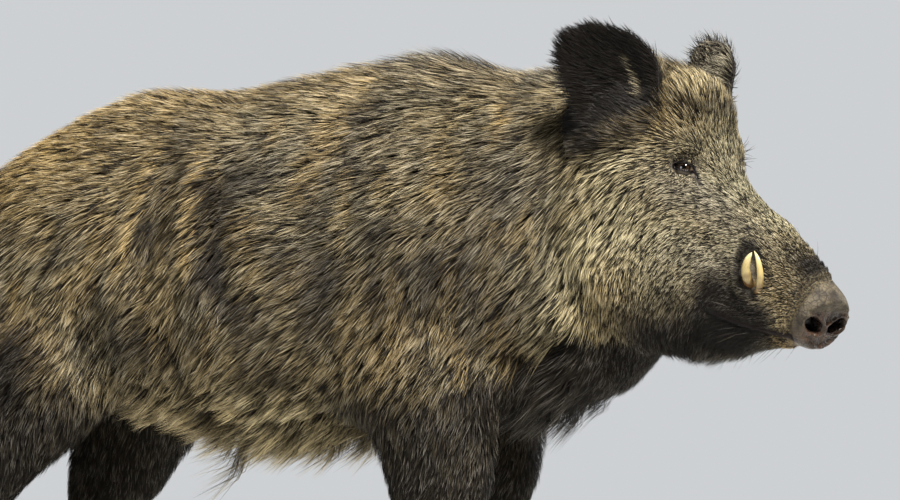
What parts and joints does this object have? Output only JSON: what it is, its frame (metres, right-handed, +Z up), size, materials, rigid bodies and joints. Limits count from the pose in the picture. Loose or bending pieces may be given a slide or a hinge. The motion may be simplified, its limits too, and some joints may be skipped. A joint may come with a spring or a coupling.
{
  "type": "wild boar figure",
  "caption": "Life-size standing wild boar with a bristly brown coat, a long wedge-shaped head turned to its right, upright ears and curved tusks.",
  "frame": {"origin": "on the ground, under the middle of the animal's length and width", "axes": "+X ahead, from tail to snout, +Y to the animal's left, +Z up"},
  "size_m": [1.4844, 0.3798, 0.9219],
  "materials": {
    "coat": "grizzled bristles, dark at the root and tan at the tip",
    "dark_coat": "short black-brown hair",
    "snout_skin": "bare, damp, wrinkled skin",
    "eye": "wet dark brown",
    "ivory": "smooth yellowed ivory",
    "horn": "dull grey-black horn"
  },
  "bodies": {
    "root": {"trunk": "coat", "neck": "coat", "head": "coat", "snout": "snout_skin", "lower_jaw": "dark_coat", "tail": "dark_coat", "ear_right": "dark_coat", "ear_left": "dark_coat", "eye_right": "eye", "eye_left": "eye", "lower_tusk_right": "ivory", "lower_tusk_left": "ivory", "upper_tusk_right": "ivory", "upper_tusk_left": "ivory", "foreleg_right_upper": "dark_coat", "foreleg_right_lower": "dark_coat", "foreleg_right_hoof_outer": "horn", "foreleg_right_dewclaw_outer": "horn", "foreleg_right_hoof_inner": "horn", "foreleg_right_dewclaw_inner": "horn", "foreleg_left_upper": "dark_coat", "foreleg_left_lower": "dark_coat", "foreleg_left_hoof_outer": "horn", "foreleg_left_dewclaw_outer": "horn", "foreleg_left_hoof_inner": "horn", "foreleg_left_dewclaw_inner": "horn", "hindleg_right_upper": "dark_coat", "hindleg_right_lower": "dark_coat", "hindleg_right_hoof_outer": "horn", "hindleg_right_dewclaw_outer": "horn", "hindleg_right_hoof_inner": "horn", "hindleg_right_dewclaw_inner": "horn", "hindleg_left_upper": "dark_coat", "hindleg_left_lower": "dark_coat", "hindleg_left_hoof_outer": "horn", "hindleg_left_dewclaw_outer": "horn", "hindleg_left_hoof_inner": "horn", "hindleg_left_dewclaw_inner": "horn"}
  },
  "joints": []
}
